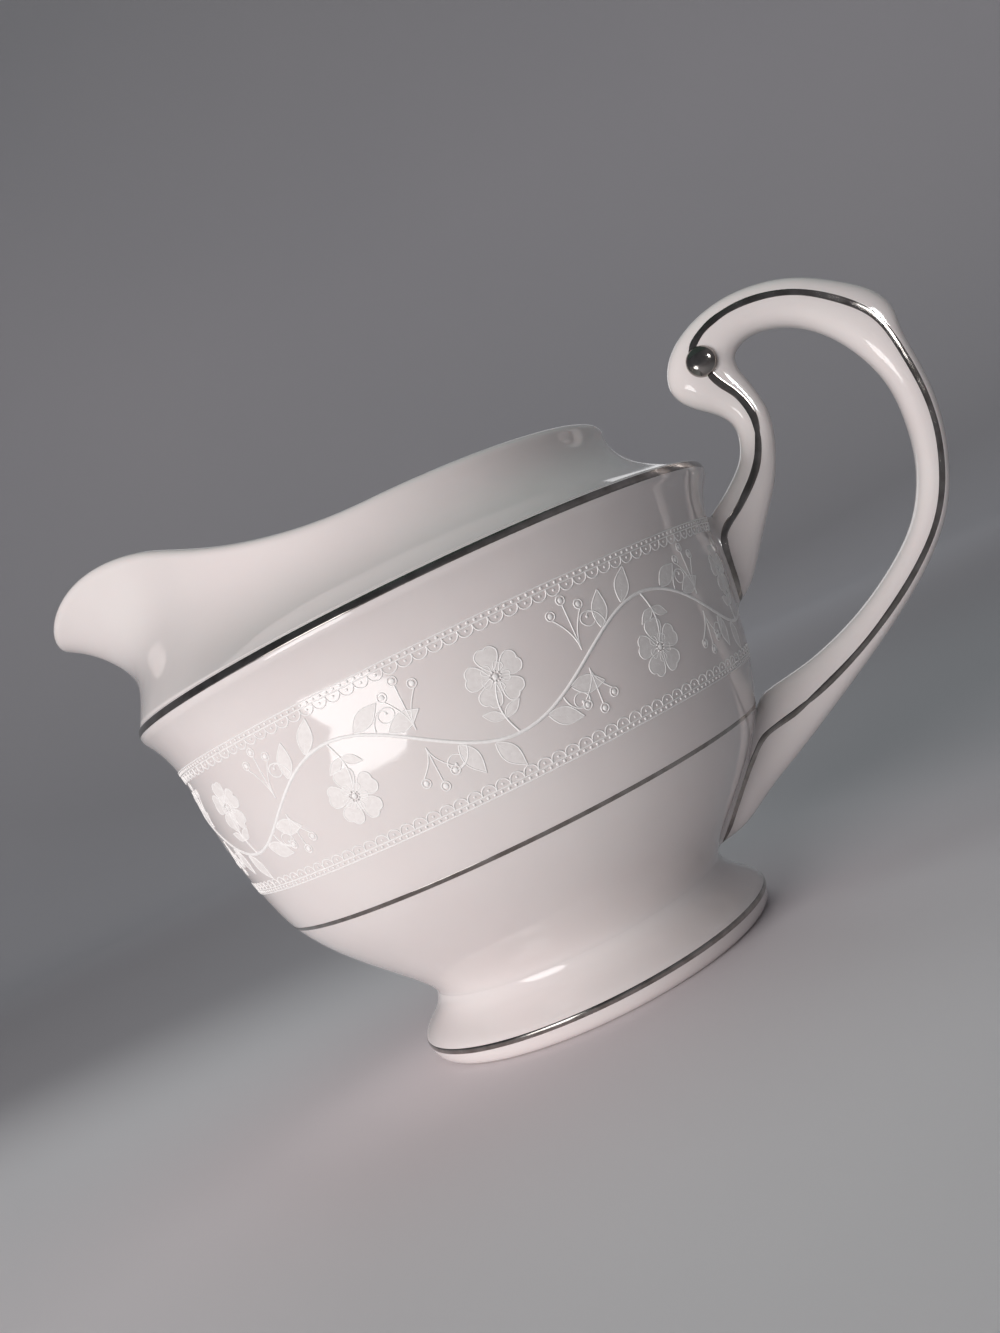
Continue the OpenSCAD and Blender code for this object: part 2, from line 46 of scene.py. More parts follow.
camera_data.lens = 33.218
camera_data.clip_start = 0.005
camera = bpy.data.objects.new("camera", camera_data)
bpy.context.collection.objects.link(camera)
camera.location = (0.033514, -0.190068, 0.04725)
camera.rotation_mode = "QUATERNION"
camera.rotation_quaternion = aim.to_track_quat("-Z", "Y") @ Quaternion((0, 0, 1), roll)
bpy.context.scene.camera = camera
bpy.context.scene.view_settings.view_transform = "Standard"

# Floor and backdrop
# A round photographer's sweep of graduated paper: a flat floor under the creamer that curves up into
# a wall on all sides. Its grading is painted light and shade: pale in a pool at the front left,
# shading off to grey further away.
mm = 0.001  # the pieces are drawn in millimetres


def skin(name, rings, round_closed, along_closed=False, caps=False):
    """A smooth skin over rings of equal length, given in millimetres."""
    build = bmesh.new()
    rows = [[build.verts.new([v * mm for v in point]) for point in ring] for ring in rings]
    sides = len(rows[0])
    for i in range(len(rows) - (0 if along_closed else 1)):
        low, high = rows[i], rows[(i + 1) % len(rows)]
        for j in range(sides if round_closed else sides - 1):
            k = (j + 1) % sides
            build.faces.new((low[j], low[k], high[k], high[j]))
    if caps:
        build.faces.new(rows[0])
        build.faces.new(list(reversed(rows[-1])))
    bmesh.ops.remove_doubles(build, verts=build.verts, dist=1e-7)
    return shown(name, build)


def shown(name, build):
    """The piece that a finished build makes, smooth all over."""
    bmesh.ops.recalc_face_normals(build, faces=build.faces)
    mesh = bpy.data.meshes.new(name)
    build.to_mesh(mesh)
    build.free()
    mesh.polygons.foreach_set("use_smooth", [True] * len(mesh.polygons))
    piece = bpy.data.objects.new(name, mesh)
    bpy.context.collection.objects.link(piece)
    return piece


def turned(name, outline, sides=240):
    """A piece turned on the upright axis."""
    return skin(name, [[(r * math.cos(math.tau * i / sides), r * math.sin(math.tau * i / sides), z)
                        for r, z in outline] for i in range(sides)], False, True)


def feed(node, values):
    """Sets a node's inputs, each to a plain value or to what another node puts out."""
    for name, value in values.items():
        if isinstance(value, bpy.types.NodeSocket):
            node.id_data.links.new(value, node.inputs[name])
        else:
            node.inputs[name].default_value = value
    return node


def new_finish(name):
    """A new surface finish, with its nodes and its shader."""
    finish = bpy.data.materials.new(name)
    finish.use_nodes = True
    return finish, finish.node_tree, finish.node_tree.nodes["Principled BSDF"]


def cloud(tree, scale, detail):
    """Cloudy noise that lies fast on the piece."""
    place = tree.nodes.new("ShaderNodeTexCoord").outputs["Object"]
    noise = tree.nodes.new("ShaderNodeTexNoise")
    return feed(noise, {"Vector": place, "Scale": scale, "Detail": detail}).outputs["Fac"]


def tints(tree, value, *stops, blend="LINEAR"):
    """Colours that follow a value, through stops given as (value, red, green, blue)."""
    run = feed(tree.nodes.new("ShaderNodeValToRGB"), {"Fac": value})
    run.color_ramp.interpolation = blend
    stop_list = run.color_ramp.elements
    for i, (position, *colour) in enumerate(stops):
        stop = stop_list[i] if i < 2 else stop_list.new(position)
        stop.position = position
        stop.color = (*colour, 1)
    return run.outputs["Color"]


floor_r, cove_r, wall_top = 800, 600, 1600
sweep_line = [(0, 0), (200, 0), (500, 0), (floor_r, 0)]
sweep_line += [(floor_r + cove_r * math.sin(math.radians(t)),
                cove_r - cove_r * math.cos(math.radians(t))) for t in range(6, 91, 6)]
sweep_line += [(floor_r + cove_r, 1000), (floor_r + cove_r, wall_top)]
sweep = turned("sweep", sweep_line, 96)
paper, paper_tree, paper_shader = new_finish("sweep_paper")
# painted light and shade: the paper is palest in a painted pool of light at the front left and
# darker further off, and its stops are metres away from there
painted_light_spot = (-0.16, -0.14, 0)
reach = paper_tree.nodes.new("ShaderNodeVectorMath")
reach.operation = "DISTANCE"
feed(reach, {0: paper_tree.nodes.new("ShaderNodeTexCoord").outputs["Object"], 1: painted_light_spot})
painted_light_grade = tints(paper_tree, reach.outputs["Value"],
              (0.17, 0.95, 0.90, 0.895), (0.31, 0.50, 0.47, 0.48),
              (0.48, 0.50, 0.475, 0.485), (0.98, 0.62, 0.61, 0.625), blend="EASE")
mottle = tints(paper_tree, cloud(paper_tree, 1.6, 2), (0, 0.86, 0.87, 0.91), (1, 1, 0.98, 1))
# the painted light and shade, multiplied by the paper's own mottle
painted_light_paper = paper_tree.nodes.new("ShaderNodeMix")
painted_light_paper.data_type = "RGBA"
painted_light_paper.blend_type = "MULTIPLY"
colour_a, colour_b, colour_out = 6, 7, 2  # this node's colour sockets
feed(painted_light_paper, {"Factor": 1, colour_a: painted_light_grade, colour_b: mottle})
feed(paper_shader, {
    "Base Color": painted_light_paper.outputs[colour_out],
    "Roughness": 0.9,
    "Specular IOR Level": 0.2})
sweep.data.materials.append(paper)

# Lights
# A broad soft window low on the left gives the light that falls off towards the handle. A weaker
# one stands behind, and a small cool softbox hangs over the mouth. The three panes light nothing:
# they only draw the highlights in the glaze. The room adds a faint greenish fill.
room = bpy.context.scene.world or bpy.data.worlds.new("room")
bpy.context.scene.world = room
room.use_nodes = True
feed(room.node_tree.nodes["Background"], {"Color": (0.62, 0.82, 0.77, 1), "Strength": 0.13})
for name, place, target, shape, spin, size, spread, power, tint in (
        ("window_left", (-0.55, -0.795, 0.145), (0, 0, 0.05),
         "RECTANGLE", 0, (0.80, 0.26), 180, 9.1, (1, 0.955, 0.945)),
        ("window_rear", (0, 0.86, 0.42), (0, 0, 0.06),
         "RECTANGLE", 0, (0.60, 0.34), 180, 1.4, (0.96, 0.98, 1)),
        ("roof_light", (0.08, 0.05, 0.29), (0.02, 0, 0.06),
         "RECTANGLE", 0, (0.22, 0.22), 180, 0.15, (0.82, 1, 0.985)),
        ("pane_bowl", (-0.089, -0.182, 0.022), (-0.006, -0.044, 0.053),
         "ELLIPSE", 28, (0.13, 0.075), 180, 0.12, (1, 1, 1)),
        ("pane_handle", (0.261, -0.226, 0.136), (0.075, 0, 0.066),
         "RECTANGLE", 0, (0.06, 0.06), 15, 0.004, (1, 1, 1)),
        ("pane_rear", (-0.06, 0.51, 0.25), (0, 0, 0.05),
         "RECTANGLE", 0, (0.30, 0.20), 180, 0.12, (1, 1, 1))):
    lamp = bpy.data.lights.new(name, "AREA")
    lamp.shape = shape
    lamp.size, lamp.size_y = size
    lamp.spread = math.radians(spread)
    lamp.energy = power
    lamp.color = tint
    lamp_object = bpy.data.objects.new(name, lamp)
    bpy.context.collection.objects.link(lamp_object)
    lamp_object.location = place
    lamp_object.rotation_mode = "QUATERNION"
    facing = (Vector(target) - Vector(place)).to_track_quat("-Z", "Y")
    lamp_object.rotation_quaternion = facing @ Quaternion((0, 0, 1), math.radians(spin))
    lamp_object.visible_camera = False
    lamp_object.visible_diffuse = not name.startswith("pane")
    lamp_object.visible_glossy = name.startswith("pane")
    if name.startswith("window"):
        # net curtains soften the light close to the windows, so the floor there isn't glaring
        lamp.use_nodes = True
        curtain = lamp.node_tree.nodes.new("ShaderNodeLightFalloff")
        feed(curtain, {"Strength": 1.55, "Smooth": 0.5})
        feed(lamp.node_tree.nodes["Emission"], {"Strength": curtain.outputs["Quadratic"]})

# Bowl
# A pear-shaped bowl of slip-cast bone china, turned true on the wheel before firing, with a flat
# ledge inside its shoulder that carries the collar. It is glazed inside and out.
neck_z, floor_z, ledge_z = 9.2, 12.2, 64
mouth_r, bowl_wall = 43.2, 2.8


def levels(tree, value, span, ends):
    """A number that goes from one end to the other while a value crosses a span."""
    fitted = tree.nodes.new("ShaderNodeMapRange")
    return feed(fitted, {"Value": value, "From Min": span[0], "From Max": span[1],
                         "To Min": ends[0], "To Max": ends[1]}).outputs["Result"]


def raised(tree, height, distance, over=None):
    """Fine relief that follows a value, laid over another relief where one is given."""
    bump = feed(tree.nodes.new("ShaderNodeBump"), {"Height": height, "Distance": distance})
    return feed(bump, {"Normal": over} if over else {}).outputs["Normal"]


# fine white china under a clear glaze, faintly pink where it is thick: the glaze pools and thins
# a little, so its tone and its gloss drift slowly, and a fine peel lies over its slow waves
china, china_tree, china_shader = new_finish("glazed_china")
slow_waves = raised(china_tree, cloud(china_tree, 95, 1), 0.00012)
feed(china_shader, {
    "IOR": 1.52,
    "Coat Weight": 0.35,
    "Coat Roughness": 0.03,
    "Subsurface Weight": 0.12,
    "Subsurface Radius": (1.0, 0.75, 0.65),
    "Subsurface Scale": 0.003,
    "Base Color": tints(china_tree, cloud(china_tree, 38, 3),
                        (0.3, 0.775, 0.715, 0.705), (0.7, 0.80, 0.755, 0.74)),
    "Roughness": levels(china_tree, cloud(china_tree, 260, 4), (0.3, 0.7), (0.05, 0.11)),
    "Normal": raised(china_tree, cloud(china_tree, 900, 2), 0.000004, slow_waves)})


def curve(p, c, d, q, steps):
    """A smooth run from p to q that leaves towards c and arrives from d."""
    return [tuple((1 - t) ** 3 * p[i] + 3 * (1 - t) ** 2 * t * c[i]
                  + 3 * (1 - t) * t * t * d[i] + t ** 3 * q[i] for i in (0, 1))
            for t in (k / steps for k in range(steps + 1))]


def between(start, end, share):
    """The number that lies a share of the way from start to end."""
    return start + share * (end - start)


def bend(p, q, shares, steps):
    """A curve from p to q whose two inner points lie at the given shares of the way."""
    c, d = [[between(p[i], q[i], share[i]) for i in (0, 1)] for share in shares]
    return curve(p, c, d, q, steps)


def corner(p, b, q, steps):
    """A rounded corner from p to q, drawn towards b."""
    return [tuple((1 - t) ** 2 * p[i] + 2 * t * (1 - t) * b[i] + t * t * q[i] for i in (0, 1))
            for t in (k / steps for k in range(steps + 1))]


def eased(points, radius):
    """The same line with its sharp corners rounded."""
    sharp = math.radians(25)
    line = [points[0]]
    for a, b, c in zip(points, points[1:], points[2:]):
        back, ahead = Vector(a) - Vector(b), Vector(c) - Vector(b)
        if back.length < 1e-6 or ahead.length < 1e-6 or math.pi - back.angle(ahead) < sharp:
            line.append(b)
            continue
        cut = min(radius, back.length * 0.45, ahead.length * 0.45)
        start, end = Vector(b) + back.normalized() * cut, Vector(b) + ahead.normalized() * cut
        line += corner(start, b, end, 5)
    return line + [points[-1]]


neck, waist, belly = (24.4, neck_z), (39.3, 28), (44.2, 51)
shoulder, rim = (47.8, 62.5), (47.2, ledge_z)
bowl_outside = bend(neck, waist, ((0.02, 0.16), (0.74, 0.56)), 30)
bowl_outside += bend(waist, belly, ((0.4, 0.17), (0.9, 0.62)), 30)[1:]
bowl_outside += bend(belly, shoulder, ((0.04, 0.45), (0.42, 0.78)), 24)[1:]
bowl_outside[-4:] = corner(bowl_outside[-4], shoulder, (47.38, 63.55), 12) + [rim]


def radius_at(line, z):
    """Radius of a turned line at a height."""
    for (r0, z0), (r1, z1) in zip(line, line[1:]):
        if z <= z1:
            return r0 + (r1 - r0) * (z - z0) / (z1 - z0)
    return line[-1][0]


def wall_radius(z):
    """Radius of the bowl's outside at a height."""
    return radius_at(bowl_outside, max(z, neck_z))


# the inside keeps an even wall from the floor's fillet up to the belly, then runs to the ledge
fillet_top = 14.6
bowl_inside = []
for before, here, after in zip(bowl_outside, bowl_outside[1:], bowl_outside[2:]):
    run = Vector((after[0] - before[0], after[1] - before[1])).normalized()
    point = (here[0] - bowl_wall * run.y, here[1] + bowl_wall * run.x)
    if fillet_top < point[1] < belly[1]:
        bowl_inside.append(point)
bowl_inside += bend(bowl_inside[-1], (mouth_r, ledge_z), ((0.15, 0.3), (1, 0.6)), 12)[1:]
wall_foot = Vector(bowl_inside[0])
wall_run = (Vector(bowl_inside[2]) - wall_foot).normalized()
meet = wall_foot - wall_run * ((wall_foot.y - floor_z) / wall_run.y)
floor_fillet = curve((meet.x - 4, floor_z), (meet.x - 1, floor_z),
                     wall_foot - wall_run * 1.2, wall_foot, 12)[:-1]
# the bowl meets the foot at the neck, on a shallow spigot
bowl_outline = [(0, neck_z), (22, neck_z), (22, 8.2), (23.9, 8.2), (24.25, 8.7)]
bowl_outline += eased(bowl_outside + list(reversed(bowl_inside)), 0.3)[:-1]
bowl_outline += list(reversed(floor_fillet)) + [(10, floor_z), (0, floor_z)]
bowl = turned("bowl_body", bowl_outline)
bowl.data.materials.append(china)
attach(bowl, "root")
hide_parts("bowl")

# Foot
# A flared foot, cast in one with the bowl and hollow underneath. It is glazed but for the resting
# ring, which is wiped dry before firing and shows the bare matt body.
ring_edge, bulge, recess_top = (27, 0), (28.9, 2.8), (20.4, neck_z)
foot_outside = bend(ring_edge, bulge, ((0.55, 0.02), (0.98, 0.4)), 16)
foot_outside += bend(bulge, neck, ((0.02, 0.3), (0.95, 0.45)), 24)[1:]
foot_inside = [(24.4, 9.7), (24.1, 10.4), (22.5, 10.4), (22.5, neck_z), recess_top]
foot_inside += bend(recess_top, (23.2, 1.6), ((0.1, 0.4), (0.5, 0.9)), 10)[1:]
foot_inside += eased([(24, 0.25), (24.3, 0), (26.9, 0)], 0.4)
foot = turned("pedestal_foot_body", foot_outside + foot_inside + [ring_edge])

# the grain that fired surfaces share: a fine cloud, with a gloss and a relief that follow it
grain = bpy.data.node_groups.new("fired_grain", "ShaderNodeTree")
for socket in ("Scale", "Detail", "Relief", "Low", "High", "Low Roughness", "High Roughness"):
    grain.interface.new_socket(socket, in_out="INPUT", socket_type="NodeSocketFloat")
for socket, kind in (("Cloud", "NodeSocketFloat"), ("Roughness", "NodeSocketFloat"),
                     ("Normal", "NodeSocketVector")):
    grain.interface.new_socket(socket, in_out="OUTPUT", socket_type=kind)
own = grain.nodes.new("NodeGroupInput").outputs
fleck = cloud(grain, own["Scale"], own["Detail"])
feed(grain.nodes.new("NodeGroupOutput"), {
    "Cloud": fleck,
    "Roughness": levels(grain, fleck, (own["Low"], own["High"]),
                        (own["Low Roughness"], own["High Roughness"])),
    "Normal": raised(grain, fleck, own["Relief"])})


def fired_grain(tree, values):
    """What the grain gives in one finish, with that finish's own values."""
    placed = tree.nodes.new("ShaderNodeGroup")
    placed.node_tree = grain
    return feed(placed, values).outputs


biscuit, biscuit_tree, biscuit_shader = new_finish("bare_biscuit")
grit = fired_grain(biscuit_tree, {"Scale": 2200, "Detail": 2, "Relief": 0.00002})
feed(biscuit_shader, {
    "Roughness": 0.75,
    "Base Color": tints(biscuit_tree, grit["Cloud"], (0, 0.58, 0.53, 0.48), (1, 0.74, 0.70, 0.66)),
    "Normal": grit["Normal"]})
foot.data.materials.append(china)
foot.data.materials.append(biscuit)
wiped = 0.12  # height to which the ring is wiped
for face in foot.data.polygons:
    face.material_index = 1 if face.center.z < wiped * mm else 0
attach(foot, "root")
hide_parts("pedestal_foot")

# Collar and spout
# The upper part, cast with the bowl: a wall that springs from the shoulder ledge, sweeps out
# into the broad pouring spout and ends in a rounded lip. Smoothed by hand, glazed all over.
seat_r = 47  # outer edge of the collar where it stands on the ledge
lip_r, lip_z = 36.3, 74.7  # the lip at the back
lip_w, collar_wall = 2.2, 2.6
spout_out, spout_up, tip_dip = 20.08, 14.9, 7.2  # how far the lip goes out, up, and down at the tip
# degrees round from the spout within which its lip climbs, and over which the rest of it fades
climb_angle, flank_angle, throat_angle, reach_angle, dip_angle = 98, 62, 27.5, 22, 13.2


def swell(a, spread):
    """The share of the spout's swelling that is left at an angle round from its middle."""
    return math.exp(-(a / spread) ** 2)


def collar_section(a):
    """The collar's section at an angle from the spout: up outside, over the lip and down inside."""
    throat, flank = swell(a, throat_angle), math.exp(-(a / flank_angle) ** 4)
    climb = math.cos(math.radians(90 * a / climb_angle)) ** 2 if abs(a) < climb_angle else 0
    seat = Vector((seat_r, ledge_z))
    edge = Vector((lip_r + spout_out * swell(a, reach_angle),
                   lip_z + spout_up * climb - tip_dip * swell(a, dip_angle)))
    rise = edge.y - ledge_z
    low = seat + Vector((between(-5.6, -2.8, flank), between(0.17, 0.3, flank) * rise))
    high = Vector((edge.x + between(-0.7, -7.6, throat), ledge_z + between(0.5, 0.78, throat) * rise))

    def left_of(step, length):
        return Vector((-step.y, step.x)) * (length / step.length)

    inward = left_of(edge - high, lip_w)
    up = left_of(inward, -lip_w)
    lip = [edge + (1 - math.cos(t)) / 2 * inward + math.sin(t) / 2 * up
           for t in (math.pi * k / 12 for k in range(1, 12))]
    inner_low = low + left_of(low - seat, collar_wall)
    inner_low += throat * (Vector((mouth_r, 68.4)) - inner_low)
    inner_high = high + left_of(edge - high, collar_wall)
    inner = curve((mouth_r, ledge_z), inner_low, inner_high, edge + inward, 22)
    return curve(seat, low, high, edge, 22) + lip + list(reversed(inner))


collar_rings, collar_half = [], 140  # sections on each side, set closer together near the spout
for i in range(-collar_half, collar_half):
    a = 180 * math.copysign(1, i) * (abs(i) / collar_half) ** 1.5
    turn = math.radians(a)
    collar_rings.append([(-r * math.cos(turn), r * math.sin(turn), z) for r, z in collar_section(a)])
collar = skin("spout_collar_body", collar_rings, True, True)
collar.data.materials.append(china)
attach(collar, "root")
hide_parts("spout_collar")

# Handle
# A swan-neck handle, cast solid in a mould of its own and luted on with slip. It springs from the
# upper lug, rolls over in a scroll, carries a thumb leaf over the arch and sweeps to the lower lug.
outer_points = [
    (wall_radius(55.8), 55.8), (46.6, 56.8), (50.4, 59.4), (53.3, 62.3), (54.5, 66.4), (53.0, 69.4),
    (49.4, 72.7), (48.1, 76.4), (50.6, 80.9), (56.3, 83.9), (63.0, 84.6), (70.6, 82.7), (77.0, 78.3),
    (81.3, 73.5), (82.1, 66.0), (82.3, 57.9), (80.7, 50.1), (77.0, 41.9), (70.2, 34.9), (61.4, 28.9),
    (52.5, 23.8), (43.5, 18.9), (35.6, 14.9), (30.0, 11.5), (wall_radius(10.4), 10.4)]
inner_points = [
    (wall_radius(42.2), 42.2), (46.8, 44.5), (51.6, 50.8), (56.9, 57.5), (59.9, 65.3), (59.4, 70.9),
    (58.7, 73.8), (58.8, 75.7), (59.7, 76.8), (61.6, 77.6), (64.4, 77.6), (68.5, 76.1), (72.3, 72.7),
    (75.2, 67.9), (77.0, 62.3), (77.0, 56.4), (75.6, 49.4), (71.9, 42.7), (66.4, 37.9), (58.7, 33.4),
    (50.6, 30.4), (45.0, 29.3), (41.1, 28.6), (39.7, 27.5), (wall_radius(26.6), 26.6)]
strand = 6.2  # plain thickness from front to rear, times these shares along it
thickness_shares = [
    1.15, 1, 0.9, 0.88, 0.88, 0.9, 0.98, 1.05, 1.06, 1.06, 1.06, 1.06, 1.04,
    1, 0.97, 0.95, 0.95, 0.95, 0.95, 0.97, 1, 1.05, 1.15, 1.3, 1.4]
last_station = len(outer_points) - 1
places = 8  # places worked out from one station to the next


def through(values, s):
    """A value between the entries of a list, on a smooth curve through them."""
    last = len(values) - 1
    i = max(0, min(int(s), last - 1))
    t = s - i
    a, b, c, d = values[max(i - 1, 0)], values[i], values[i + 1], values[min(i + 2, last)]
    return 0.5 * (2 * b + (c - a) * t + (2 * a - 5 * b + 4 * c - d) * t * t
                  + (3 * b - a - 3 * c + d) * t ** 3)


def fair(values):
    """The same curve at every place, faired in ten strokes as a modeller sands it."""
    fine = [through(values, k / places) for k in range(places * last_station + 1)]
    for _ in range(10):
        fine[1:-1] = [(a + 2 * b + c) / 4 for a, b, c in zip(fine, fine[1:], fine[2:])]
    return fine


outer_x, outer_z = fair([p[0] for p in outer_points]), fair([p[1] for p in outer_points])
inner_x, inner_z = fair([p[0] for p in inner_points]), fair([p[1] for p in inner_points])
depth = fair([share * strand / 2 for share in thickness_shares])
leaf_start, leaf_tip, leaf_half = 9, 13.75, 70  # stations, and degrees to each side of the outer edge
leaf_h = 0.9


def leaf_rise(s, a):
    """Height of the thumb leaf over the arch: a slow rise, then a rounded spur."""
    a = (a + 180) % 360 - 180
    if not leaf_start < s < leaf_tip or abs(a) > leaf_half:
        return 0
    rise = min(1, (s - leaf_start) / 4)
    rise = 0.35 * math.sin(math.pi / 2 * rise) + 0.65 * rise ** 2.4
    fall = min(1, (leaf_tip - s) / 0.5)
    fall = fall * fall * (3 - 2 * fall)
    return leaf_h * rise * fall * math.cos(math.radians(90 * a / leaf_half))


def on_strand(s, a):
    """A place on the handle: the station along it and the angle round it, from its outer edge (0)
    over the front (90) to its inner edge (180)."""
    k = s * places
    p = Vector((through(outer_x, k), through(outer_z, k)))
    q = Vector((through(inner_x, k), through(inner_z, k)))
    half, turn = (p - q) / 2, math.radians(a)
    squared = [math.copysign(abs(v) ** 0.85, v) for v in (math.cos(turn), math.sin(turn))]
    out = (squared[0] + leaf_rise(s, a) / half.length) * half + (p + q) / 2
    return Vector((out.x, -through(depth, k) * squared[1], out.y))


def on_wall(point, sink=0.0):
    """The nearest place on the bowl's wall at the same height."""
    r = wall_radius(point.z) - sink
    y = max(-r, min(r, point.y))
    return Vector((math.sqrt(r * r - y * y), y, point.z))


handle_sides = 56
angles = [360 * j / handle_sides for j in range(handle_sides)]


def lug(end, inward):
    """Rings of the glaze fillet that spreads from the strand onto the wall. The first ones are sunk
    into the wall, so that no edge shows."""
    fillet = 1.0
    tip = [on_wall(on_strand(end, a)) for a in angles]
    centre = on_wall(sum(tip, Vector()) / handle_sides)
    rings = [[on_wall(centre + (p - centre) * 0.5, 0.3) for p in tip]]
    for t in (0, 0.2, 0.4, 0.6, 0.8, 1):
        turn = math.radians(90 * t)
        ring = []
        for p, a in zip(tip, angles):
            away = (p - centre).normalized()
            along = (on_strand(end + inward * 0.5, a) - p).normalized()
            q = p + away * fillet * (1 - math.sin(turn)) + along * fillet * (1 - math.cos(turn))
            ring.append(on_wall(q, 0.04) if t == 0 else q)
        rings.append(ring)
    return rings


handle_rings = lug(0, 1)
handle_rings += [[on_strand(k / places, a) for a in angles]
                 for k in range(4, last_station * places - 3)]
handle_rings += list(reversed(lug(last_station, -1)))
handle = skin("handle_body", handle_rings, True, caps=True)
handle.data.materials.append(china)
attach(handle, "root")
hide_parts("handle")

# Platinum lines on the bowl and the foot
# Liquid bright platinum, banded on the turning wheel with a soft brush over the fired glaze and
# fired again. It is a mirror a few microns thick, with faint brush clouds and soft edges.
platinum, platinum_tree, platinum_shader = new_finish("bright_platinum")
brushed = fired_grain(platinum_tree, {
    "Scale": 420, "Detail": 5, "Relief": 0.000006,
    "Low": 0.3, "High": 0.7, "Low Roughness": 0.08, "High Roughness": 0.2})
# the metal's colour is set well below bright platinum's: painted shade that stands in for the dark
# room it mirrors
feed(platinum_shader, {
    "Metallic": 1,
    "Base Color": tints(platinum_tree, brushed["Cloud"],
                        (0.35, 0.27, 0.245, 0.225), (0.62, 0.40, 0.375, 0.355)),
    "Roughness": brushed["Roughness"],
    "Normal": brushed["Normal"]})


def film(u):
    """How far the metal stands above the glaze, from one edge of its line (-1) to the other (1)."""
    return 0.06 * (1 - u ** 6) - 0.02


def band(name, line, z0, z1, node):
    """A painted line round a turned wall, between two heights on it."""
    outline = []
    for k in range(13):
        u = 2 * k / 12 - 1
        z = z0 + (z1 - z0) * (u + 1) / 2
        slope = Vector((radius_at(line, z + 0.05) - radius_at(line, z - 0.05), 0.1)).normalized()
        outline.append((radius_at(line, z) + film(u) * slope.y, z - film(u) * slope.x))
    piece = turned(name, outline, 300)
    piece.data.materials.append(platinum)
    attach(piece, "root")
    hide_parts(node)


band("shoulder_band", bowl_outside, 62.75, 63.85, "shoulder_line")
band("waist_band", bowl_outside, 27.67, 28.33, "waist_line")
band("foot_band", foot_outside, 2.35, 3.25, "foot_line")

# Platinum lines and eyes on the handle
# The same platinum, lined freehand with a liner's brush along the neck, into the scroll's eye,
# over the arch and down to the lower lug. The raised button of the eye is painted all over.
neck_path = [(0.25, 168), (0.32, 120), (0.5, 80), (1, 66), (2, 76), (4, 92), (5.4, 98), (6.9, 96)]
arch_path = [(7.75, 72), (8.6, 69), (10, 74), (13, 77), (16, 73), (19, 78), (21, 92), (22.6, 102),
             (23.5, 84), (23.75, 40), (23.85, 12)]
eye_station, button_r, button_h = 7.4, 2.36, 1.28
button_outline = [(button_r * r, button_h * h) for r, h in (
    (0, 1), (0.2, 0.99), (0.36, 0.955), (0.52, 0.88), (0.68, 0.77), (0.8, 0.62), (0.9, 0.43),
    (0.97, 0.2), (1, 0), (1, -0.3))]


def handle_ribbon(path, side, width, last_width, steps):
    """A line painted along a path of stations and angles, that changes width towards its end."""
    rows, last = [], len(path) - 1
    stations, turns = [p[0] for p in path], [p[1] for p in path]
    for i in range(steps + 1):
        t = i / steps * last
        s, a = through(stations, t), through(turns, t)
        back, ahead = max(t - 0.02, 0), min(t + 0.02, last)
        ds = through(stations, ahead) - through(stations, back)
        da = through(turns, ahead) - through(turns, back)
        by_s = (on_strand(s + 0.02, a) - on_strand(s - 0.02, a)) / 0.04
        by_a = on_strand(s, a + 0.5) - on_strand(s, a - 0.5)
        out = by_a.cross(by_s).normalized()
        along = (by_s * ds + by_a * da).normalized()
        across = out.cross(along)
        # the step in station and angle that moves one millimetre across the line
        ss, aa, sa = by_s.dot(by_s), by_a.dot(by_a), by_s.dot(by_a)
        det = ss * aa - sa * sa
        u_s = (across.dot(by_s) * aa - across.dot(by_a) * sa) / det
        u_a = (across.dot(by_a) * ss - across.dot(by_s) * sa) / det
        # the brush lands and lifts at the ends, and its pressure wavers a little
        landing = min(1, 9 * min(i, steps - i) / steps + 0.55)
        pressure = 1 + 0.05 * math.sin(i * 0.35 + 2 * side)
        reach = between(width, last_width, (i / steps) ** 2) / 2 * landing * pressure
        row = []
        for u in (k / 4 - 1 for k in range(9)):
            p = on_strand(s + u_s * u * reach, a + u_a * u * reach) + out * film(u)
            row.append((p.x, side * p.y, p.z))
        rows.append(row)
    return rows


for side, place in ((1, "front"), (-1, "rear")):
    for name, rows in (("handle_neck_line_", handle_ribbon(neck_path, side, 1.12, 1.3, 120)),
                       ("handle_arch_line_", handle_ribbon(arch_path, side, 1.15, 0.5, 260))):
        piece = skin(name + place, rows, False)
        piece.data.materials.append(platinum)
        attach(piece, "root")
        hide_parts("handle_line_" + place)
    eye_middle = (on_strand(eye_station, 0) + on_strand(eye_station, 180)) / 2
    eye_base = abs(on_strand(eye_station, 90).y)
    eye_rows = [[(eye_middle.x + r * math.cos(turn), -side * (eye_base + h),
                  eye_middle.z + r * math.sin(turn)) for r, h in button_outline]
                for turn in (math.tau * i / 64 for i in range(64))]
    eye = skin("scroll_button_" + place, eye_rows, False, True)
    eye.data.materials.append(platinum)
    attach(eye, "root")
    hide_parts("scroll_eye_" + place)

# Enamel frieze
# Raised white enamel, trailed over the glaze by hand with a fine pen and fired on: a winding vine
# with tendrils, veined leaves, blossoms and berries between two beaded and scalloped borders.
# Outlines and veins stand up as fine threads, and a thin milky wash fills the leaves and petals.
frieze_z, frieze_half = 45.4, 10.2  # height of its middle, and from there to each border
gap = 6.5  # degrees left plain on each side of the handle
waves, swing = 12, 4.6
wave = 360 / waves
degrees_per_mm = 180 / math.pi / belly[0]
wash_h, wash_dome = 0.035, 0.02  # height of a wash at its edge, and how much more in its middle

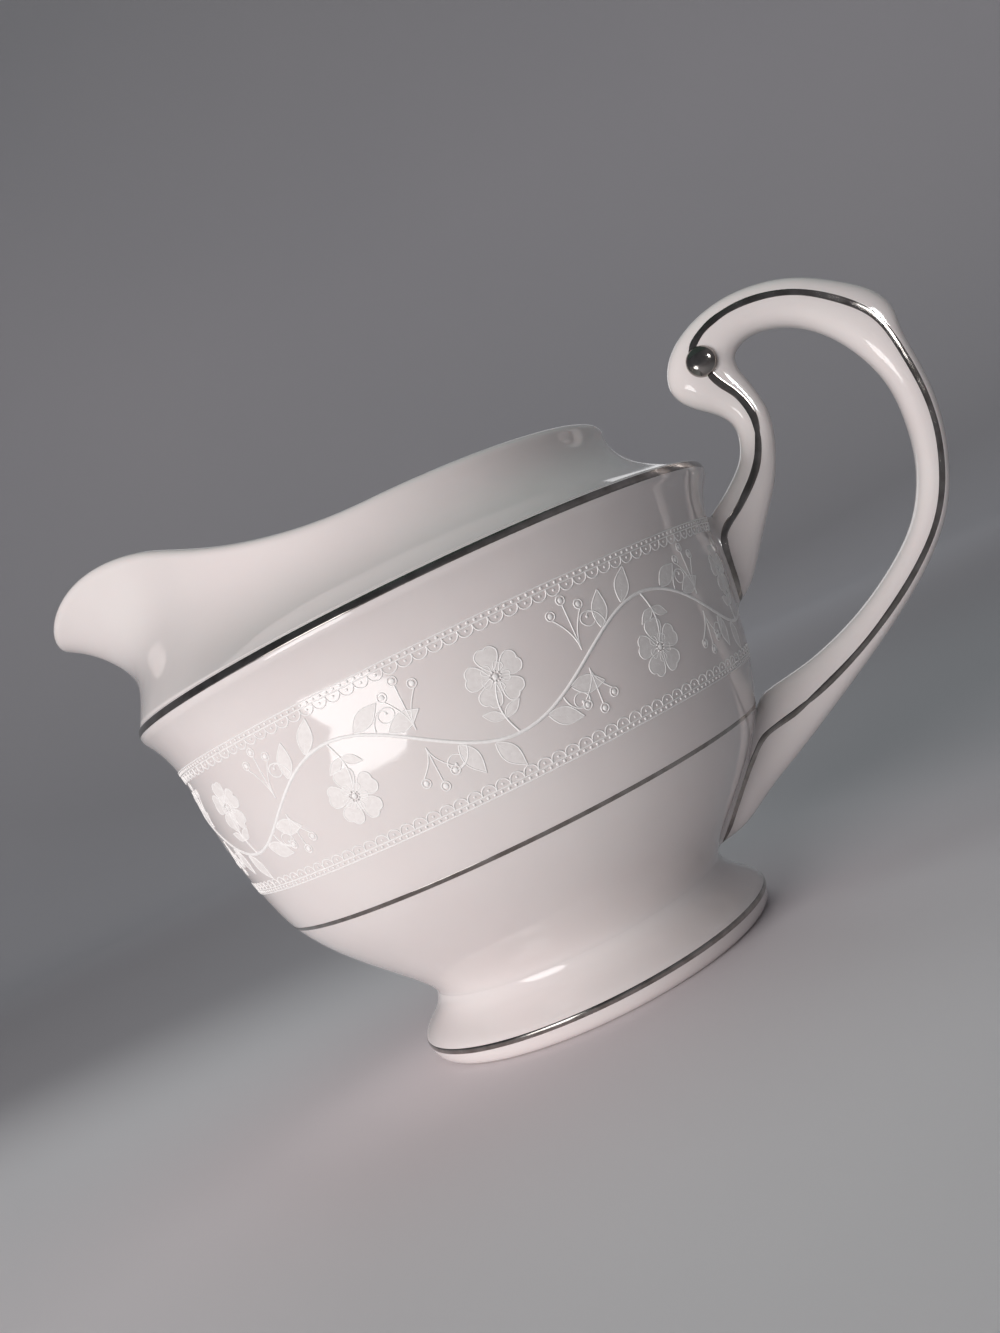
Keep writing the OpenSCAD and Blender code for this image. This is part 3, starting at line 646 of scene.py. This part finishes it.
enamels = []
for name, dull, bright in (("white_enamel", (0.3, 0.90, 0.88, 0.87), (0.65, 0.96, 0.95, 0.94)),
                           ("enamel_wash", (0.3, 0.81, 0.775, 0.76), (0.65, 0.87, 0.84, 0.825))):
    enamel, enamel_tree, enamel_shader = new_finish(name)
    chalk = fired_grain(enamel_tree, {
        "Scale": 1800, "Detail": 3, "Relief": 0.00001,
        "Low": 0, "High": 1, "Low Roughness": 0.3, "High Roughness": 0.5})
    feed(enamel_shader, {
        "Specular IOR Level": 0.35,
        "Base Color": tints(enamel_tree, chalk["Cloud"], dull, bright),
        "Roughness": chalk["Roughness"],
        "Normal": chalk["Normal"]})
    enamels.append(enamel)


def vine_z(a):
    """Height of the vine at an angle round the bowl."""
    return frieze_z + swing * math.sin(math.radians(180 * a / wave))


def on_glaze(a, z, h):
    """A place at an angle round the bowl and a height on it, raised above the glaze."""
    r = wall_radius(z) + h
    return (r * math.cos(math.radians(a)), r * math.sin(math.radians(a)), z)


def step_from(a, z, tilt, length):
    """The angle and height that lie a length away, in a direction tilted from the level."""
    tilt = math.radians(tilt)
    return (a + length * math.cos(tilt) * degrees_per_mm, z + length * math.sin(tilt))


class Enamel:
    """Gathers threads and washes of enamel into one piece."""

    def __init__(self):
        self.build = bmesh.new()

    def sheet(self, rows, wash=0):
        made = [[self.build.verts.new([v * mm for v in p]) for p in row] for row in rows]
        for low, high in zip(made, made[1:]):
            for j in range(len(low) - 1):
                self.build.faces.new((low[j], low[j + 1], high[j + 1], high[j])).material_index = wash

    def thread(self, points, width, height, taper=0.0, closed=False):
        """A thread trailed through points given as (angle, height on the bowl)."""
        rows, last = [], len(points) - 1
        for i, (a, z) in enumerate(points):
            before, after = points[max(i - 1, 0)], points[min(i + 1, last)]
            if closed and i in (0, last):
                before, after = points[last - 1], points[1]
            run = Vector(((after[0] - before[0]) / degrees_per_mm, after[1] - before[1]))
            run.normalize()
            thin = 1 - taper * i / last
            row = []
            for u, h in ((-1, -0.3), (-0.75, 0.6), (0, 1), (0.75, 0.6), (1, -0.3)):
                w = u * width * thin / 2
                row.append(on_glaze(a - run.y * w * degrees_per_mm, z + run.x * w, h * height * thin))
            rows.append(row)
        self.sheet(rows)

    def dab(self, root, tilt, length, width, contour, veins, thread=0.2):
        """A washed leaf or petal that leans at tilt degrees above the level from its root, with
        its outline and its veins. The contour runs to the tip in shares of length and width. Veins
        branch off at shares of the length, and the last share is the end of the middle one."""
        a, z = root
        c, s = math.cos(math.radians(tilt)), math.sin(math.radians(tilt))

        def at(x, y):
            return (a + (x * length * c - y * width * s) * degrees_per_mm,
                    z + x * length * s + y * width * c)
        xs, ys = [p[0] for p in contour], [p[1] for p in contour]
        side = [(through(xs, k / 4), max(0, through(ys, k / 4)))
                for k in range(4 * (len(contour) - 1) + 1)]
        self.sheet([[on_glaze(*at(x, y * u), wash_h + wash_dome * (1 - u ** 2))
                     for u in (j / 4 for j in range(-4, 5))] for x, y in side], 1)
        loop = [at(x, y) for x, y in side] + [at(x, -y) for x, y in reversed(side[:-1])]
        self.thread(loop, thread, 0.09)
        self.thread([at(t / 8 * veins[-1], 0) for t in range(9)], thread * 0.8, 0.08, 0.6)
        for start in veins[:-1]:
            for hand in (-1, 1):
                reach = max(y for x, y in side if abs(x - start - 0.15) < 0.12)
                self.thread([at(start + 0.2 * t, hand * reach * 0.72 * t ** 0.8)
                             for t in (k / 4 for k in range(5))], thread * 0.55, 0.07, 0.5)

    def bead(self, a, z, d, height):
        """A round drop of a given diameter."""
        rings = ((1, -0.2), (0.97, 0.3), (0.85, 0.65), (0.6, 0.9), (0.3, 0.99), (0.02, 1))
        self.sheet([[on_glaze(*step_from(a, z, 30 * k, r * d / 2), h * height) for k in range(13)]
                    for r, h in rings])

    def finish(self, name, node):
        piece = shown(name, self.build)
        for enamel in enamels:
            piece.data.materials.append(enamel)
        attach(piece, "root")
        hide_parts(node)


def crest(i):
    """The angle of a wave's crest, and whether it stands above the middle (1) or below it (-1)."""
    return (i + 0.5) * wave, 1 if i % 2 == 0 else -1


def blossom_middle(i):
    """The middle of a wave's blossom, across the frieze from its crest."""
    a, up = crest(i)
    return a, frieze_z - up * 0.62 * swing


def stalk(i):
    """The stalk from a wave's crest to its blossom."""
    a, up = crest(i)
    return [(a + 1.1 * math.sin(math.pi * t) * up * degrees_per_mm,
             between(vine_z(a), blossom_middle(i)[1], t)) for t in (k / 12 for k in range(13))]


# the vine, with a stalk from each crest and two tendrils that curl from its shoulders
round_bowl = [gap + (360 - 2 * gap) * k / 640 for k in range(641)]
vine = Enamel()
vine.thread([(a, vine_z(a)) for a in round_bowl], 0.5, 0.14)
for i in range(waves):
    a, up = crest(i)
    for lean in (-1, 1):
        start = a + lean * 0.27 * wave
        curl = []
        for t in (k / 36 for k in range(37)):
            turn = math.radians(520 * t)
            r = 1.9 * (1 - 0.82 * t)
            curl.append((start + lean * (2.5 - r * math.cos(turn)) * degrees_per_mm,
                         vine_z(start) + up * (r * math.sin(turn) + 1.5 * min(1, 2.5 * t))))
        if gap + 3 < start < 360 - gap - 3:
            vine.thread(curl, 0.24, 0.1, 0.45)
            vine.bead(*curl[-1], 0.42, 0.12)
    vine.thread(stalk(i), 0.28, 0.11)
vine.finish("enamel_vine_threads", "enamel_vine")

# two small leaves on each stalk, and four large ones along each wave
leaf_contour = [(0, 0.03), (0.12, 0.24), (0.3, 0.44), (0.5, 0.5), (0.7, 0.37), (0.88, 0.15), (1, 0)]
leaves = Enamel()
for i in range(waves):
    up = crest(i)[1]
    for lean in (-1, 1):
        leaves.dab(stalk(i)[4], -90 * up + lean * 62, 2.9, 1.25, leaf_contour, (0.2, 0.45, 0.9), 0.16)
    for share in (0.16, 0.34, 0.66, 0.84):
        a = (i + share) * wave
        slope = math.degrees(math.atan2(vine_z(a + 0.5) - vine_z(a - 0.5), 1 / degrees_per_mm))
        tilt = slope + up * 42
        if gap + 6 < a < 360 - gap - 6:
            leaves.dab(step_from(a, vine_z(a), tilt, 0.5), tilt, 4.8, 2.2, leaf_contour,
                       (0.12, 0.3, 0.48, 0.94))
leaves.finish("enamel_leaf_dabs", "enamel_leaves")

# a blossom at the end of each stalk: five petals, five small ones over their joints, and stamens
petal_contour = [(0, 0.07), (0.22, 0.28), (0.5, 0.46), (0.78, 0.5), (0.97, 0.33), (1, 0.14),
                 (0.93, 0)]
blossoms = Enamel()
for i in range(waves):
    middle = blossom_middle(i)
    for p in range(5):
        tilt = 90 + 72 * p
        blossoms.dab(step_from(*middle, tilt, 0.75), tilt, 2.95, 2.9, petal_contour, (0.3, 0.5, 0.7))
        tilt += 36
        blossoms.dab(step_from(*middle, tilt, 0.55), tilt, 1.3, 1.25, petal_contour, (0.75,), 0.16)
    blossoms.bead(*middle, 0.8, 0.2)
    for p in range(10):
        blossoms.bead(*step_from(*middle, 36 * p, 0.66), 0.26, 0.2)
blossoms.finish("enamel_blossom_dabs", "enamel_blossoms")

# three ringed berries on stems above and below the vine, wherever it crosses the middle
berries = Enamel()
for i in range(1, waves):
    for side in (-1, 1):
        for k in (-1, 0, 1):
            berry_z = frieze_z + side * (0.58 * frieze_half + (1.3 if k == 0 else 0)) + 0.65
            berry_a = (i + 0.09 * k) * wave
            berries.thread([step_from(berry_a, berry_z, 22.5 * q, 0.6) for q in range(17)],
                           0.18, 0.1, closed=True)
            berries.bead(berry_a, berry_z, 0.72, 0.14)
            stem_top, stem_foot = berry_z - side * 0.62, frieze_z + side * 1.2
            berries.thread([(between(i * wave, berry_a, t * t), between(stem_foot, stem_top, t))
                            for t in (q / 10 for q in range(11))], 0.2, 0.09)
berries.finish("enamel_berry_dabs", "enamel_berries")

# each border: two fine threads with beads between them, and a scallop and a bead for every span
scallops = 132
span = (360 - 2 * gap) / scallops
for name, z, inner in (("upper", frieze_z + frieze_half, -1), ("lower", frieze_z - frieze_half, 1)):
    border = Enamel()
    for offset in (-0.36, 0.36):
        border.thread([(a, z + offset) for a in round_bowl], 0.2, 0.1)
    for k in range(scallops):
        a = gap + span * (k + 0.5)
        border.thread([(a - span * 0.5 * math.cos(turn),
                        z + inner * (0.36 + 1.15 * math.sin(turn) ** 0.8))
                       for turn in (math.pi * t / 10 for t in range(11))], 0.2, 0.1)
        border.bead(a, z + inner * 0.85, 0.34, 0.1)
        border.bead(a - span * 0.25, z, 0.4, 0.12)
        border.bead(a + span * 0.25, z, 0.4, 0.12)
    border.finish(name + "_border_lace", name + "_border")
